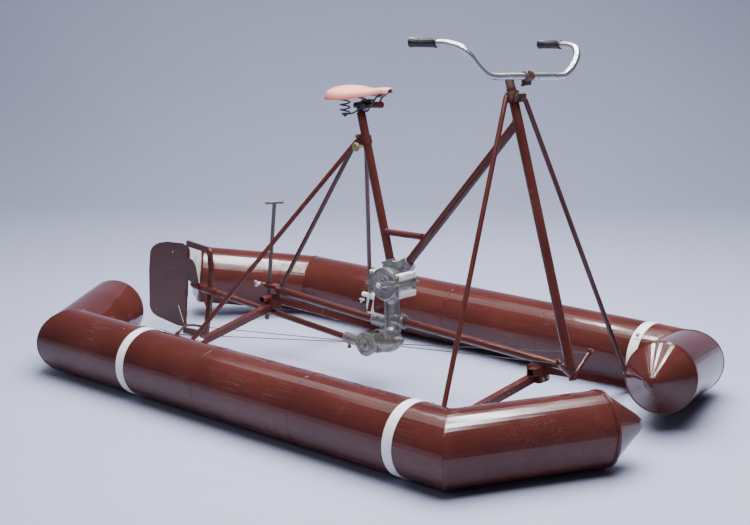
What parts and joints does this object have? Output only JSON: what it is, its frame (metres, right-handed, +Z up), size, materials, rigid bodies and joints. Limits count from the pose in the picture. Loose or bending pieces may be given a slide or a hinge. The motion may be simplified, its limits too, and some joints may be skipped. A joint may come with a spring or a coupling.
{
  "type": "pontoon bike",
  "caption": "Pedal-driven catamaran: bent pipe floats carry a bicycle frame, gear column, hinged propeller leg, rudder and cable steering.",
  "frame": {"origin": "floor level under the middle of the object's box", "axes": "+X forward to the bow, +Y to port, +Z up"},
  "size_m": [2.7072, 1.6016, 1.3593],
  "materials": {
    "hull_paint": "glossy oxide red-brown paint, worn",
    "white_paint": "flat white paint",
    "cast_alloy": "cast, dull",
    "brown_casting": "cast, brownish",
    "knob_brass": "dull",
    "dark_steel": "oiled dark steel",
    "spring_black": "black, dull",
    "saddle_leather": "worn leather, pinkish tan",
    "bar_chrome": "chrome with rust",
    "grip_rubber": "matte",
    "pedal_alloy": "cast, satin"
  },
  "bodies": {
    "boat": {"hull_main_starboard": "hull_paint", "hull_bow_starboard": "hull_paint", "hull_stern_starboard": "hull_paint", "bow_cone_starboard": "hull_paint", "band_bow_starboard": "white_paint", "band_stern_starboard": "white_paint", "beam_stern_starboard": "hull_paint", "beam_bow_starboard": "hull_paint", "hull_main_port": "hull_paint", "hull_bow_port": "hull_paint", "hull_stern_port": "hull_paint", "bow_cone_port": "hull_paint", "band_bow_port": "white_paint", "band_stern_port": "white_paint", "beam_stern_port": "hull_paint", "beam_bow_port": "hull_paint", "hub_stern": "hull_paint", "hub_bow": "hull_paint", "rail_rear": "hull_paint", "rail_front": "hull_paint", "seat_tube": "hull_paint", "down_tube": "hull_paint", "cross_strut": "hull_paint", "steering_post": "hull_paint", "frame_lug": "cast_alloy", "brace_seat_starboard": "hull_paint", "brace_seat_port": "hull_paint", "brace_seat_centre": "hull_paint", "brace_head_starboard": "hull_paint", "brace_head_port": "hull_paint", "seat_clamp": "brown_casting", "head_clamp": "brown_casting", "brace_knob": "knob_brass", "seat_pillar": "dark_steel", "saddle_springs": "spring_black", "saddle": "saddle_leather", "gear_upper": "cast_alloy", "gear_column": "cast_alloy", "gear_lower": "brown_casting", "lift_bracket": "cast_alloy"},
    "steering": {"steering_column": "dark_steel", "stem": "brown_casting", "handlebar": "bar_chrome", "grip_port": "grip_rubber", "grip_starboard": "grip_rubber", "steering_yoke": "hull_paint"},
    "leg": {"leg_knuckle": "brown_casting", "shaft_tube": "hull_paint", "stern_frame": "hull_paint"},
    "rudder": {"rudder_blade": "hull_paint", "rudder_tiller": "hull_paint"},
    "propeller": {"propeller": "hull_paint"},
    "lift_rod": {"lift_rod": "dark_steel"},
    "crank": {"crank": "pedal_alloy"},
    "pedal_starboard": {"pedal_starboard": "pedal_alloy"},
    "pedal_port": {"pedal_port": "pedal_alloy"}
  },
  "joints": [
    {"name": "steering", "type": "hinge", "parent": "boat", "child": "steering", "pos_m": [0.6967, 0, 1.174], "axis": [-0.2856, 0, 0.9584], "range_deg": [-35, 35]},
    {"name": "leg_lift", "type": "hinge", "parent": "boat", "child": "leg", "pos_m": [0.0507, 0, 0.162], "axis": [0, -1, 0], "range_deg": [0, 27]},
    {"name": "rudder_turn", "type": "hinge", "parent": "leg", "child": "rudder", "pos_m": [-1.0413, 0, 0.045], "axis": [0.1056, 0, 0.9944], "range_deg": [-35, 35]},
    {"name": "propeller_spin", "type": "hinge", "parent": "leg", "child": "propeller", "pos_m": [-0.9553, 0, 0.2256], "axis": [0.9971, 0, -0.0756], "continuous": true},
    {"name": "lift_rod_slide", "type": "slide", "parent": "boat", "child": "lift_rod", "axis": [-0.11, 0, -0.9939], "range_m": [0, 0.26]},
    {"name": "crank_spin", "type": "hinge", "parent": "boat", "child": "crank", "pos_m": [0.1527, 0, 0.414], "axis": [0, 1, 0], "continuous": true},
    {"name": "pedal_spin_starboard", "type": "hinge", "parent": "crank", "child": "pedal_starboard", "pos_m": [0.33072, -0.117, 0.45184], "axis": [0, 1, 0], "continuous": true},
    {"name": "pedal_spin_port", "type": "hinge", "parent": "crank", "child": "pedal_port", "pos_m": [-0.02532, 0.117, 0.37616], "axis": [0, 1, 0], "continuous": true}
  ],
  "couplings": [
    {"joint": "rudder_turn", "follows": "steering", "ratio": -1},
    {"joint": "lift_rod_slide", "follows": "leg_lift", "m_per_rad": 0.5},
    {"joint": "propeller_spin", "follows": "crank_spin", "ratio": 2}
  ]
}
